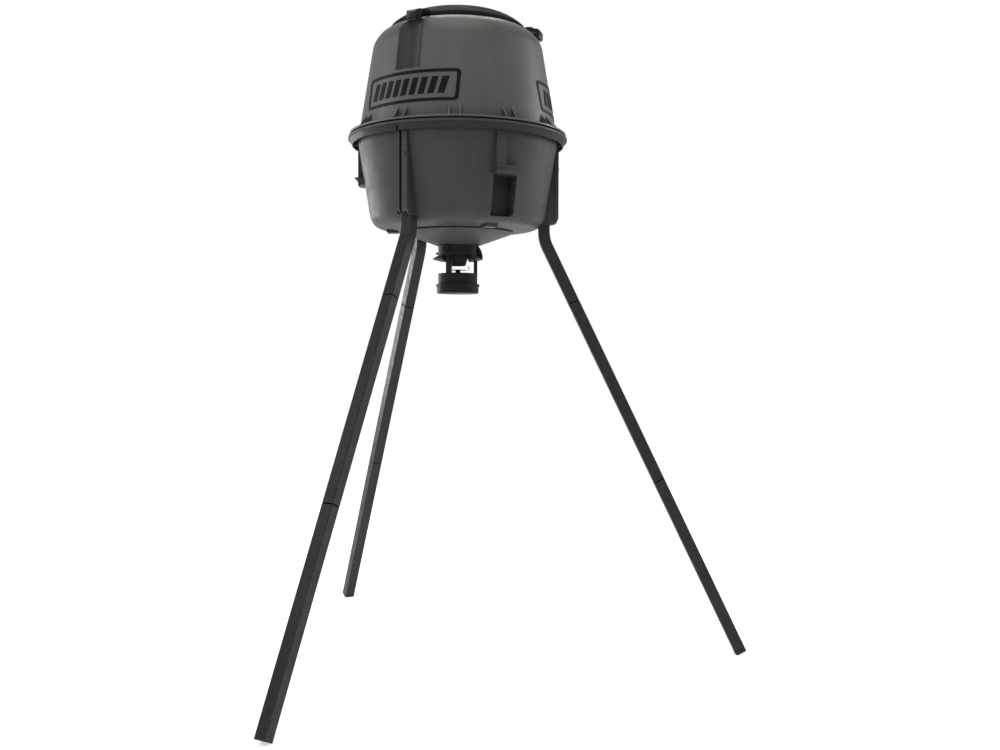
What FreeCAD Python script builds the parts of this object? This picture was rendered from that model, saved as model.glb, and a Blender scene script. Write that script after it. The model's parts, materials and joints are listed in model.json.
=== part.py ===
"""Tripod spin-cast game feeder: a two-part hopper on three sectional legs, with a
quick-lock feeder kit (spout, spinner, motor, timer and batteries) hanging under it.

Millimetres, +Z up. The origin is on the ground on the hopper's axis, and +X points
at leg 1. Every profile is drawn as (radius, height) and every radial feature is drawn
at azimuth 0 and turned into place, with t the sideways distance from its azimuth.
"""
import FreeCAD, Part
import math
import os

# ---- driving dimensions -------------------------------------------------------------
LEG_AZIMUTHS = (0, 120, -120)
GRIP_AZIMUTHS = (60, 180, -60)
WALL = 4.0                      # moulded plastic thickness

# hopper rim, where the two halves are screwed together
RIM_RADIUS = 305.0              # 24 inch diameter
RIM_JOINT_Z = 1454.5
UPPER_FLANGE_RADIUS = 302.0
UPPER_FLANGE, LOWER_FLANGE = 6.0, 11.0  # thicknesses
RIM_GROOVE_RADIUS, RIM_GROOVE = 296.0, 4.5      # inside and height of the groove under the upper flange
RIM_ROUND = 1.5
SKIRT_RADIUS, SKIRT_Z = 301.5, 1428.0   # skirt that hangs under the lower flange
SKIRT_FOOT_RADIUS = 294.5       # outside of the skirt at its low edge
SCREW_COUNT = 12
SCREW_CIRCLE = 288.0
SCREW_RADIUS = 2.5
BOSS_RADIUS = 7.0
GUSSET_RADIUS, GUSSET_HEIGHT = 293.0, 31.0
GUSSET_INNER, GUSSET_OUTER = 12.5, 15.5 # sideways, from the screw between two gussets

# upper hopper
UPPER_WALL_RADIUS = 275.0       # at the top of its flange
UPPER_TAPER = 0.165             # radius lost per height gained
CROWN_Z = 1745.5
SHOULDER_ROUND = 68.0           # between the wall and the flat crown
MOUTH_RADIUS = 165.0            # outside of the mouth's neck
MOUTH_TOP_Z = 1756.0
LATCH_RECESS_HALF = 40.0
LATCH_RECESS_ROUND = 46.0       # radius of the scoop
LATCH_RECESS_BOTTOM_Z = 1594.0
BADGE_HALF = 142.0
BADGE_BOTTOM_Z = 1502.0
BADGE_TOP_Z = 1586.0
BADGE_LINE = 7.5
BADGE_RELIEF = 1.2
BADGE_BARS = 9

# lower hopper
LOWER_WALL_RADIUS = 278.8       # at the underside of its flange
LOWER_TAPER = 0.159
FLOOR_RADIUS = 155.0            # where the sloping floor meets the flat centre
FLOOR_Z = 1193.5
FLOOR_SLOPE = 0.12
KNUCKLE_ROUND = 40.0            # round between wall and floor
FLOOR_HOLE_RADIUS = 138.0

# leg sockets
SOCKET_RADIUS = 281.5
SOCKET_HALF = 20.0
SOCKET_BOTTOM_Z = 1218.0
SOCKET_DEPTH_Z = 1392.0
SOCKET_CLEARANCE = 0.2
SOCKET_FLANGE = 10.5            # depth of the wider strip on its outer face
SOCKET_SLOT_HALF = 3.5
SOCKET_STEP = 2.0
LEG_BOLT_Z, LEG_BOLT_T = 1370.0, 11.0

# grip pockets between the legs
GRIP_FLOOR_RADIUS = 208.0
GRIP_LEFT, GRIP_RIGHT = -32.0, 38.0
GRIP_BOTTOM_Z, GRIP_TOP_Z = 1214.0, 1320.0
GRIP_ROUNDS = (5.0, 12.0, 3.0, 3.0)     # corners, from the lower left one round
LEDGE_Z = 1337.0                # ledge over the pocket
LEDGE_LEFT, LEDGE_RIGHT = -36.0, 30.0
LEDGE_RADIUS = 285.0
BOX_RADIUS, BOX_RIGHT = 281.0, -8.0     # box between the ledge and the flange
FUNNEL_SCREW_CIRCLE = 147.0
FUNNEL_SCREWS = [30 + 60 * index for index in range(6)]

# legs
TUBE = 31.75                    # 1 1/4 inch square steel tube
TUBE_WALL = 1.8
TUBE_ROUND = 2.6
LEG_RADIUS = 241.8              # tube centre in the socket
BEND_Z = 1172.0
BEND_ROUND = 100.0
SPLAY = 25.8                    # degrees from vertical
UPPER_SLANT = 191.0             # bend corner to the first joint
MIDDLE_SLANT = 558.5
SWAGE = 27.6                    # reduced end that slides into the tube above
SWAGE_LENGTH = 45.0
SWAGE_SHOULDER = 5.0
PLUG_THICKNESS = 5.0
PLUG_STEM = 25.0
PLUG_FLAT = 1.5                 # worn off the plug's low edge, so that it stands flat

# feeder kit
FUNNEL_BOTTOM_Z = 1154.0
FUNNEL_THICKNESS = 3.5
THROAT_RADIUS = 27.0
SPIGOT_RADIUS = 38.8            # of the spout, in the collar's plate
COLLAR_RADIUS = 55.0
COLLAR_BOTTOM_Z = 1138.0
LOCK_GAP = 0.4
LOCK_TWIST = 40.0               # degrees from locked to released
LUG_HALF, NOTCH_HALF = 12.0, 15.0
RING_BOTTOM_Z = 1126.0
WING_RADIUS = 69.5
WING_SPREAD = 100.0
SPOUT_BOTTOM_Z = 1098.5
HOUSING_RADIUS = 55.0
HOUSING_TOP_Z = 1074.0
HOUSING_BOTTOM_Z = 1026.0
HOUSING_WALL = 3.5
POST_OUTER, POST_THICKNESS, POST_HALF = 54.8, 10.0, 5.0
COVER_RADIUS = 59.0
COVER_BORE = 55.8
COVER_BOTTOM_Z = 1020.5
COVER_TOP_Z = 1047.0
COVER_FLOOR = 2.5
SEAL_Z = 1040.0                 # ring between the housing and the cover
SPINNER_Z = 1086.0
SPINNER_LENGTH, SPINNER_WIDTH, SPINNER_FLAP = 58.0, 42.0, 10.5
SPINNER_GAUGE = 1.2
SPINNER_TURN = 16.0             # rest angle of the spinner
SHAFT_RADIUS = 1.5
MOTOR_RADIUS = 12.2
PANEL_Z = 1027.0
PANEL_HALF_LENGTH, PANEL_HALF_WIDTH = 47.0, 13.5
PANEL_THICKNESS = 2.5
BOARD_Z, BOARD_THICKNESS = 1035.0, 1.6
LCD = (-32.0, -4.0, 9.0)        # x from, x to, half width
STANDOFFS = [(x, y) for x in (-35, 35) for y in (-10.5, 10.5)]
PANEL_SCREW_PLACES = (-42.0, 42.0)
BUTTON_PLACES = (8.0, 18.0, 28.0)
BUTTON_RADIUS = 3.0
CELL_RADIUS, CELL_LENGTH = 7.25, 49.0
CELL_OFFSET = 24.0
CELL_HEIGHTS = (1036.0, 1051.5)

# lid and its latches
LID_RADIUS = 187.5
LID_BOTTOM_Z = 1744.5
LID_EDGE_Z = 1754.0             # where the skirt ends and the dome starts
LID_KNEE_RADIUS = 147.5         # corner that the dome's round is drawn from
LID_TOP_Z = 1791.0
LID_ROUND = 137.0
LID_WALL = 3.0
LID_RIDGES = (35.0, 70.0)
SEAL_HEIGHT = 4.4               # lid's seal, above the mouth
LATCH_PIN = (203.0, 1751.5)
LATCH_PIN_RADIUS = 2.0
LATCH_HALF = 22.0
LATCH_REACH = 237.0             # radius of the tongue's tip
LATCH_EAR = 5.5
LATCH_DROP = 23.0               # pin to the latch's tip
SKIRT_START = 217.0             # where the tongue's side walls start
CATCH_RADIUS = 228.5
CATCH_HALF = 12.0
SIDE_GAP = 0.4
RUNNING_FIT = 0.05

FULL_TURN = 360.0
FAR = 400.0                     # longer than any cut needs


# ---- drawing helpers ----------------------------------------------------------------
def vector(x, y, z):
    return FreeCAD.Vector(x, y, z)


def radial_plane(a, b):
    return vector(a, 0, b)


def level_plane(a, b):
    return vector(a, b, 0)


def outline(corners, plane=radial_plane):
    """Face inside a closed outline; a third number rounds that corner."""
    points = [plane(corner[0], corner[1]) for corner in corners]
    spans = []
    for index, corner in enumerate(corners):
        here = points[index]
        if len(corner) < 3:
            spans.append((here, None, here))
            continue
        radius = corner[2]
        before = (points[index - 1] - here).normalize()
        after = (points[(index + 1) % len(points)] - here).normalize()
        half = before.getAngle(after) / 2
        reach = radius / math.tan(half)
        inward = (before + after).normalize()
        middle = here + inward * (radius / math.sin(half) - radius)
        spans.append((here + before * reach, middle, here + after * reach))
    edges = []
    for index, (start, middle, end) in enumerate(spans):
        if middle is not None:
            edges.append(Part.Arc(start, middle, end).toShape())
        following = spans[(index + 1) % len(spans)][0]
        edges.append(Part.LineSegment(end, following).toShape())
    return Part.Face(Part.Wire(edges))


def turned(shape, azimuth):
    copy = shape.copy()
    copy.rotate(vector(0, 0, 0), vector(0, 0, 1), azimuth)
    return copy


def around(shape, azimuths):
    return [turned(shape, azimuth) for azimuth in azimuths]


def revolved(corners, sweep=FULL_TURN, start=0.0):
    solid = outline(corners).revolve(vector(0, 0, 0), vector(0, 0, 1), sweep)
    return turned(solid, start)


def rib(corners, low, high):
    """Radial profile (r, z) given a thickness from t = low to t = high."""
    face = outline(corners)
    face.translate(vector(0, low, 0))
    return face.extrude(vector(0, high - low, 0))


def plate(corners, low, high):
    """Plan outline (x, y) given a thickness from z = low to z = high."""
    face = outline(corners, level_plane)
    face.translate(vector(0, 0, low))
    return face.extrude(vector(0, 0, high - low))


def block(r_low, r_high, t_low, t_high, z_low, z_high):
    corner = vector(r_low, t_low, z_low)
    return Part.makeBox(r_high - r_low, t_high - t_low, z_high - z_low, corner)


def disc(radius, low, high, x=0.0, y=0.0):
    return Part.makeCylinder(radius, high - low, vector(x, y, low))


def radial_pin(radius, inner, outer, z, t=0.0):
    return Part.makeCylinder(radius, outer - inner, vector(inner, t, z), vector(1, 0, 0))


def joined(shapes):
    return shapes[0].fuse(shapes[1:]).removeSplitter()


def group(shapes):
    return Part.makeCompound(shapes)


def rounded_square(width, rounding):
    half = width / 2
    signs = ((-1, -1), (1, -1), (1, 1), (-1, 1))
    return [(a * half, b * half, rounding) for a, b in signs]


# ---- hopper -------------------------------------------------------------------------
RIM_TOP_Z = RIM_JOINT_Z + UPPER_FLANGE
RIM_BOTTOM_Z = RIM_JOINT_Z - LOWER_FLANGE
SCREW_AZIMUTHS = [FULL_TURN / SCREW_COUNT * index for index in range(SCREW_COUNT)]


def upper_wall(z):
    return UPPER_WALL_RADIUS - UPPER_TAPER * (z - RIM_TOP_Z)


def lower_wall(z):
    return LOWER_WALL_RADIUS - LOWER_TAPER * (RIM_BOTTOM_Z - z)


def floor_height(r):
    return FLOOR_Z + FLOOR_SLOPE * (r - FLOOR_RADIUS)


def knuckle():
    """Corner where the lower wall's line meets the sloping floor's line."""
    rise = lower_wall(FLOOR_Z) - FLOOR_RADIUS
    r = FLOOR_RADIUS + rise / (1 - FLOOR_SLOPE * LOWER_TAPER)
    return r, floor_height(r)


def screw_holes(radius, low, high):
    return around(disc(radius, low, high, SCREW_CIRCLE), SCREW_AZIMUTHS)


def latch_recess(skin):
    """Round-bottomed scoop of one latch recess, or with its skin around it."""
    offset = math.sqrt(LATCH_RECESS_ROUND ** 2 - LATCH_RECESS_HALF ** 2)
    low = LATCH_RECESS_BOTTOM_Z - skin
    start = vector(upper_wall(low - FAR) + offset, 0, low - FAR)
    scoop = Part.makeCylinder(LATCH_RECESS_ROUND + skin, 3 * FAR, start, vector(-UPPER_TAPER, 0, 1))
    return scoop.common(block(0, FAR, -FAR, FAR, low, low + FAR))


def gusset():
    """Triangular web between the upper flange and the wall, on one side of a screw."""
    base, top = RIM_TOP_Z - 1, RIM_TOP_Z + GUSSET_HEIGHT
    corners = [(upper_wall(RIM_TOP_Z) - WALL / 2, base), (GUSSET_RADIUS, base),
               (GUSSET_RADIUS, RIM_TOP_Z + 2), (upper_wall(top), top), (upper_wall(top) - WALL / 2, top)]
    return rib(corners, GUSSET_INNER, GUSSET_OUTER)


def upper_hopper():
    shoulder = upper_wall(CROWN_Z)
    neck = MOUTH_RADIUS - WALL
    low = RIM_JOINT_Z - WALL
    body = revolved([(0, RIM_JOINT_Z), (UPPER_FLANGE_RADIUS, RIM_JOINT_Z, RIM_ROUND),
                     (UPPER_FLANGE_RADIUS, RIM_TOP_Z, RIM_ROUND), (UPPER_WALL_RADIUS, RIM_TOP_Z, 3),
                     (shoulder, CROWN_Z, SHOULDER_ROUND), (MOUTH_RADIUS, CROWN_Z),
                     (MOUTH_RADIUS, MOUTH_TOP_Z, 1), (0, MOUTH_TOP_Z)])
    cavity = revolved([(0, low), (upper_wall(low) - WALL, low),
                       (shoulder - WALL, CROWN_Z - WALL, SHOULDER_ROUND - WALL),
                       (neck, CROWN_Z - WALL), (neck, FAR * 5), (0, FAR * 5)])
    right = gusset()
    left = right.mirror(vector(0, 0, 0), vector(0, 1, 0))
    catch_z = LATCH_PIN[1] - LATCH_DROP - 2
    catch = block(CATCH_RADIUS - 38, CATCH_RADIUS, -CATCH_HALF, CATCH_HALF, catch_z, catch_z + 5)
    for azimuth in LEG_AZIMUTHS:
        body = body.cut(turned(latch_recess(0), azimuth))
        cavity = cavity.cut(turned(latch_recess(WALL), azimuth))
    extras = around(right, SCREW_AZIMUTHS) + around(left, SCREW_AZIMUTHS) + around(catch, LEG_AZIMUTHS)
    shell = body.fuse(extras).cut(cavity)
    holes = screw_holes(SCREW_RADIUS + 0.1, RIM_JOINT_Z - 1, RIM_TOP_Z + 1)
    return shell.cut(holes).removeSplitter()


def badge_skin(inset, relief):
    """Thin band that follows the upper wall, from inset inside it to relief outside it."""
    low, high = BADGE_BOTTOM_Z - WALL, BADGE_TOP_Z + WALL
    return revolved([(upper_wall(low) - inset, low), (upper_wall(low) + relief, low),
                     (upper_wall(high) + relief, high), (upper_wall(high) - inset, high)])


def badge_outline(shrink, rounding):
    half, low, high = BADGE_HALF - shrink, BADGE_BOTTOM_Z + shrink, BADGE_TOP_Z - shrink
    face = outline([(-half, low, rounding), (half, low, rounding), (half, high, rounding),
                    (-half, high, rounding)], lambda a, b: vector(0, a, b))
    return face.extrude(vector(RIM_RADIUS, 0, 0))


def badges():
    """Raised frame and plain slanted bars on the wall over each leg."""
    frame = badge_outline(0, 11).cut(badge_outline(BADGE_LINE, 7))
    pitch = 2 * (BADGE_HALF - 24) / BADGE_BARS
    low, high = BADGE_BOTTOM_Z + 20, BADGE_TOP_Z - 20
    lean, width = 9.0, pitch * 0.6
    bars = []
    for index in range(BADGE_BARS):
        left = -BADGE_HALF + 24 + pitch * (index + 0.2) - lean / 2
        corners = [(left, low), (left + width, low), (left + width + lean, high), (left + lean, high)]
        face = outline(corners, lambda a, b: vector(0, a, b))
        bars.append(face.extrude(vector(RIM_RADIUS, 0, 0)))
    skin = badge_skin(0, BADGE_RELIEF)
    pieces = [piece.common(skin) for piece in [frame] + bars]
    solids = [solid for piece in pieces for solid in piece.Solids]
    return group([turned(solid, azimuth) for azimuth in LEG_AZIMUTHS for solid in solids])


def rim_screws():
    head = disc(5, RIM_TOP_Z, RIM_TOP_Z + 3.2, SCREW_CIRCLE)
    drive = disc(2, RIM_TOP_Z + 1.4, RIM_TOP_Z + 4, SCREW_CIRCLE)
    shank = disc(SCREW_RADIUS, RIM_BOTTOM_Z - 6, RIM_TOP_Z, SCREW_CIRCLE)
    return group(around(joined([head, shank]).cut(drive), SCREW_AZIMUTHS))


def tube_channel(grow):
    half = TUBE / 2 + SOCKET_CLEARANCE + grow
    return block(LEG_RADIUS - half, LEG_RADIUS + half, -half, half, 0, SOCKET_DEPTH_Z + grow)


def leg_socket():
    """Outside of one leg socket: a web with a wider, slotted outer flange."""
    top = RIM_BOTTOM_Z + 1
    corners = [(215, SOCKET_BOTTOM_Z - 4, 4), (262, SOCKET_BOTTOM_Z - 4), (276, SOCKET_BOTTOM_Z, 5),
               (SOCKET_RADIUS, SOCKET_BOTTOM_Z + 12, 6), (SOCKET_RADIUS, top), (215, top)]
    flange = rib(corners, -SOCKET_HALF, SOCKET_HALF)
    flange = flange.common(block(SOCKET_RADIUS - SOCKET_FLANGE, FAR, -FAR, FAR, 0, 5 * FAR))
    web = rib(corners, SOCKET_STEP - SOCKET_HALF, SOCKET_HALF - SOCKET_STEP)
    return [web, flange]


def socket_slot():
    """Slot down the middle of the socket's outer face."""
    inner = LEG_RADIUS + TUBE / 2 + WALL
    return block(inner, FAR, -SOCKET_SLOT_HALF, SOCKET_SLOT_HALF, 1150, RIM_BOTTOM_Z - WALL)


def socket_hollows():
    """Coring behind the outer face, on each side of the slot."""
    inner, near = LEG_RADIUS + TUBE / 2 + WALL, SOCKET_SLOT_HALF + 3
    far = SOCKET_HALF - SOCKET_STEP - 3
    hollow = rib([(inner, 1150), (SOCKET_RADIUS - WALL, 1150), (SOCKET_RADIUS - WALL, RIM_BOTTOM_Z - WALL),
                  (inner, RIM_BOTTOM_Z - WALL)], near, far)
    return [hollow, hollow.mirror(vector(0, 0, 0), vector(0, 1, 0))]


def grip_pocket(skin):
    """Recess between two legs, or with its skin around it."""
    left, right = GRIP_LEFT - skin, GRIP_RIGHT + skin
    low, high = GRIP_BOTTOM_Z - skin, GRIP_TOP_Z + skin
    places = [(left, low), (right, low), (right, high), (left, high)]
    corners = [(t, z, rounding + skin) for (t, z), rounding in zip(places, GRIP_ROUNDS)]
    face = outline(corners, lambda a, b: vector(0, a, b))
    face.translate(vector(GRIP_FLOOR_RADIUS - skin, 0, 0))
    return face.extrude(vector(FAR, 0, 0))


def grip_features():
    """Box, ledge with its lip, and foot lug that belong to one grip pocket."""
    top = RIM_BOTTOM_Z + 1
    box = rib([(250, GRIP_TOP_Z + 1), (BOX_RADIUS, GRIP_TOP_Z + 1, 4), (BOX_RADIUS, top), (250, top)],
              LEDGE_LEFT, BOX_RIGHT)
    band = rib([(240, GRIP_TOP_Z), (BOX_RADIUS - 9, GRIP_TOP_Z, 2), (BOX_RADIUS - 2, LEDGE_Z),
                (240, LEDGE_Z)], LEDGE_LEFT, LEDGE_RIGHT)
    lip = rib([(240, LEDGE_Z - 1), (LEDGE_RADIUS, LEDGE_Z - 1, 1), (LEDGE_RADIUS, LEDGE_Z + WALL, 1),
               (240, LEDGE_Z + WALL)], LEDGE_LEFT, LEDGE_RIGHT)
    lug = rib([(168, FLOOR_Z - 4, 3), (198, FLOOR_Z - 4, 3), (200, FLOOR_Z + 8), (166, FLOOR_Z + 8)], -21, 15)
    return [box, band, lip, lug]


def lower_hopper():
    corner_r, corner_z = knuckle()
    groove_z = RIM_JOINT_Z - RIM_GROOVE
    body = revolved([(0, FLOOR_Z), (FLOOR_RADIUS, FLOOR_Z), (corner_r, corner_z, KNUCKLE_ROUND),
                     (LOWER_WALL_RADIUS, RIM_BOTTOM_Z, 3), (SKIRT_RADIUS - WALL, RIM_BOTTOM_Z, 2),
                     (SKIRT_FOOT_RADIUS - WALL, SKIRT_Z, 1), (SKIRT_FOOT_RADIUS, SKIRT_Z, 1.5),
                     (SKIRT_RADIUS, RIM_BOTTOM_Z, 1), (RIM_RADIUS, RIM_BOTTOM_Z, 1),
                     (RIM_RADIUS, groove_z, RIM_ROUND), (RIM_GROOVE_RADIUS, groove_z, 1),
                     (RIM_GROOVE_RADIUS, RIM_JOINT_Z), (0, RIM_JOINT_Z)])
    cavity = revolved([(0, FLOOR_Z + WALL), (FLOOR_RADIUS, FLOOR_Z + WALL),
                       (corner_r - WALL, corner_z + WALL, KNUCKLE_ROUND - WALL),
                       (lower_wall(RIM_JOINT_Z + 1) - WALL, RIM_JOINT_Z + 1), (0, RIM_JOINT_Z + 1)])
    boss = disc(BOSS_RADIUS, SKIRT_Z + 6, RIM_BOTTOM_Z + 1, SCREW_CIRCLE)
    outside = [body] + around(boss, SCREW_AZIMUTHS)
    openings = []
    for azimuth in LEG_AZIMUTHS:
        outside += [turned(piece, azimuth) for piece in leg_socket()]
        cavity = cavity.cut(turned(tube_channel(WALL), azimuth))
        bolt_hole = radial_pin(3, 250, FAR, LEG_BOLT_Z, LEG_BOLT_T)
        cuts = [tube_channel(0), socket_slot(), bolt_hole] + socket_hollows()
        openings += [turned(cut, azimuth) for cut in cuts]
    for azimuth in GRIP_AZIMUTHS:
        outside += [turned(piece, azimuth) for piece in grip_features()]
        cavity = cavity.cut(turned(grip_pocket(WALL), azimuth))
        openings.append(turned(grip_pocket(0), azimuth))
    shell = outside[0].fuse(outside[1:]).cut([cavity] + openings)
    mouth = disc(FLOOR_HOLE_RADIUS, FLOOR_Z - 1, FLOOR_Z + WALL + 1)
    shell = shell.cut([mouth] + screw_holes(SCREW_RADIUS + 0.1, RIM_BOTTOM_Z - 8, RIM_JOINT_Z + 1))
    funnel_bores = around(disc(2.1, FLOOR_Z - 1, FLOOR_Z + WALL + 1, FUNNEL_SCREW_CIRCLE), FUNNEL_SCREWS)
    return shell.cut(funnel_bores).removeSplitter()


# ---- lid ----------------------------------------------------------------------------
def dome(inset, low):
    """Solid inside the lid's outside, or inset from it, down to a height."""
    edge_r, shift, top = LID_RADIUS - inset, inset * 0.4, LID_TOP_Z - inset
    return revolved([(0, low), (edge_r, low), (edge_r, LID_EDGE_Z - shift),
                     (LID_KNEE_RADIUS - shift, top, LID_ROUND - inset), (0, top)])


def lid():
    shell = dome(0, LID_BOTTOM_Z).cut(dome(LID_WALL, LID_BOTTOM_Z - 1))
    ring_z = MOUTH_TOP_Z + SEAL_HEIGHT
    ring = disc(MOUTH_RADIUS + 2.5, ring_z, LID_TOP_Z)
    ring = ring.cut(disc(MOUTH_RADIUS - 6.5, ring_z - 1, LID_TOP_Z + 1))
    ring = ring.common(dome(LID_WALL / 2, LID_BOTTOM_Z))
    ridges = [revolved([(radius, LID_TOP_Z - 1), (radius + 8, LID_TOP_Z - 1), (radius + 7, LID_TOP_Z + 1, 1),
                        (radius + 1, LID_TOP_Z + 1, 1)]) for radius in LID_RIDGES]
    pin_r, pin_z = LATCH_PIN
    root = LID_RADIUS - LID_WALL / 2
    ears = []
    for side in (-1, 1):
        near, far = LATCH_HALF + SIDE_GAP, LATCH_HALF + SIDE_GAP + LATCH_EAR
        low, high = sorted((side * near, side * far))
        ear = rib([(root, LID_BOTTOM_Z), (pin_r + 6, pin_z - 5, 5), (pin_r + 6, pin_z + 6, 5.4),
                   (root, pin_z + 6)], low, high)
        bore = Part.makeCylinder(LATCH_PIN_RADIUS, FAR, vector(pin_r, -FAR / 2, pin_z), vector(0, 1, 0))
        ears += around(ear.cut(bore), LEG_AZIMUTHS)
    return joined([shell, ring] + ridges + ears)


def lid_seal():
    low, high = MOUTH_TOP_Z + LOCK_GAP, MOUTH_TOP_Z + SEAL_HEIGHT
    return revolved([(MOUTH_RADIUS - 6, low, 1), (MOUTH_RADIUS + 2, low, 1), (MOUTH_RADIUS + 2, high),
                     (MOUTH_RADIUS - 6, high)])


def lid_latch():
    """Flip tab: hinge barrel, and a tongue with a rounded end whose rim hangs down over the catch."""
    pin_r, pin_z = LATCH_PIN
    barrel = Part.makeCylinder(5, 2 * LATCH_HALF, vector(pin_r, -LATCH_HALF, pin_z), vector(0, 1, 0))
    tip_z = pin_z - LATCH_DROP
    profile = rib([(pin_r, pin_z - 4), (SKIRT_START, pin_z - 7), (SKIRT_START, tip_z, 2),
                   (LATCH_REACH, tip_z, 2), (LATCH_REACH, pin_z - 8, 6),
                   (LATCH_REACH - 14, pin_z + 3, 12), (pin_r, pin_z + 4.9)], -LATCH_HALF, LATCH_HALF)
    end_r = LATCH_REACH - LATCH_HALF
    plan = joined([block(pin_r, end_r, -LATCH_HALF, LATCH_HALF, tip_z - 1, pin_z + 10),
                   disc(LATCH_HALF, tip_z - 1, pin_z + 10, end_r)])
    room = LATCH_HALF - WALL
    inside = block(pin_r + 8, CATCH_RADIUS + 1, -room, room, tip_z - 1, pin_z - 3)
    pin_bore = LATCH_PIN_RADIUS + RUNNING_FIT
    bore = Part.makeCylinder(pin_bore, FAR, vector(pin_r, -FAR / 2, pin_z), vector(0, 1, 0))
    return joined([barrel, profile.common(plan)]).cut([inside, bore])


def latch_pins():
    reach = LATCH_HALF + SIDE_GAP + LATCH_EAR
    pin_r, pin_z = LATCH_PIN
    pin = Part.makeCylinder(LATCH_PIN_RADIUS, 2 * reach, vector(pin_r, -reach, pin_z), vector(0, 1, 0))
    return group(around(pin, LEG_AZIMUTHS))


# ---- funnel and quick lock ----------------------------------------------------------
def funnel():
    flat_r = COLLAR_RADIUS + 3
    body = revolved([(THROAT_RADIUS, FUNNEL_BOTTOM_Z), (flat_r, FUNNEL_BOTTOM_Z),
                     (FLOOR_RADIUS - 1, FLOOR_Z - 4.5, 2), (FLOOR_RADIUS - 1, FLOOR_Z),
                     (FLOOR_HOLE_RADIUS - 6, FLOOR_Z), (flat_r, FUNNEL_BOTTOM_Z + FUNNEL_THICKNESS),
                     (THROAT_RADIUS, FUNNEL_BOTTOM_Z + FUNNEL_THICKNESS)])
    bores = around(disc(2.1, FLOOR_Z - 20, FLOOR_Z + 1, FUNNEL_SCREW_CIRCLE), FUNNEL_SCREWS)
    collar_bores = around(disc(2.1, FUNNEL_BOTTOM_Z - 1, FUNNEL_BOTTOM_Z + 5, 46), GRIP_AZIMUTHS)
    return body.cut(bores + collar_bores)


def funnel_screws():
    low = FLOOR_Z - 5.5
    shank = disc(2, low, FLOOR_Z + WALL + 2, FUNNEL_SCREW_CIRCLE)
    head = disc(4, FLOOR_Z + WALL, FLOOR_Z + WALL + 2.5, FUNNEL_SCREW_CIRCLE)
    return group(around(joined([shank, head]), FUNNEL_SCREWS))


def quick_lock_collar():
    plate_z = FUNNEL_BOTTOM_Z - WALL
    body = revolved([(SPIGOT_RADIUS + 0.2, plate_z), (COLLAR_RADIUS - WALL, plate_z),
                     (COLLAR_RADIUS - WALL, COLLAR_BOTTOM_Z + 3), (COLLAR_RADIUS - 10, COLLAR_BOTTOM_Z + 3),
                     (COLLAR_RADIUS - 10, COLLAR_BOTTOM_Z), (COLLAR_RADIUS, COLLAR_BOTTOM_Z),
                     (COLLAR_RADIUS, FUNNEL_BOTTOM_Z), (SPIGOT_RADIUS + 0.2, FUNNEL_BOTTOM_Z)])
    root = COLLAR_RADIUS - 2
    ear = rib([(root, FUNNEL_BOTTOM_Z - 1), (58, FUNNEL_BOTTOM_Z - 1, 3), (64, FUNNEL_BOTTOM_Z - 9, 6),
               (67, COLLAR_BOTTOM_Z), (root, COLLAR_BOTTOM_Z)], -9, 9)
    sector = [(COLLAR_RADIUS - 11, COLLAR_BOTTOM_Z - 1), (COLLAR_RADIUS - WALL, COLLAR_BOTTOM_Z - 1),
              (COLLAR_RADIUS - WALL, COLLAR_BOTTOM_Z + 3), (COLLAR_RADIUS - 11, COLLAR_BOTTOM_Z + 3)]
    notches = [revolved(sector, 2 * NOTCH_HALF, azimuth + LOCK_TWIST - NOTCH_HALF)
               for azimuth in GRIP_AZIMUTHS]
    bores = around(disc(2.1, plate_z - 1, FUNNEL_BOTTOM_Z + 1, 46), GRIP_AZIMUTHS)
    return joined([body] + around(ear, LEG_AZIMUTHS)).cut(notches + bores)


def collar_screws():
    top = FUNNEL_BOTTOM_Z + FUNNEL_THICKNESS
    shank = disc(2, FUNNEL_BOTTOM_Z - WALL, top + 1, 46)
    return group(around(joined([shank, disc(4, top, top + 2.5, 46)]), GRIP_AZIMUTHS))


def drop_spout():
    top = FUNNEL_BOTTOM_Z - WALL
    return revolved([(THROAT_RADIUS, FUNNEL_BOTTOM_Z), (SPIGOT_RADIUS, FUNNEL_BOTTOM_Z), (SPIGOT_RADIUS, top),
                     (42, top), (42, top - 3), (29.5, top - 3), (29.5, 1124),
                     (21.5, SPOUT_BOTTOM_Z, 0.6), (19.5, SPOUT_BOTTOM_Z, 0.6), (THROAT_RADIUS, 1124)])


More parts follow.
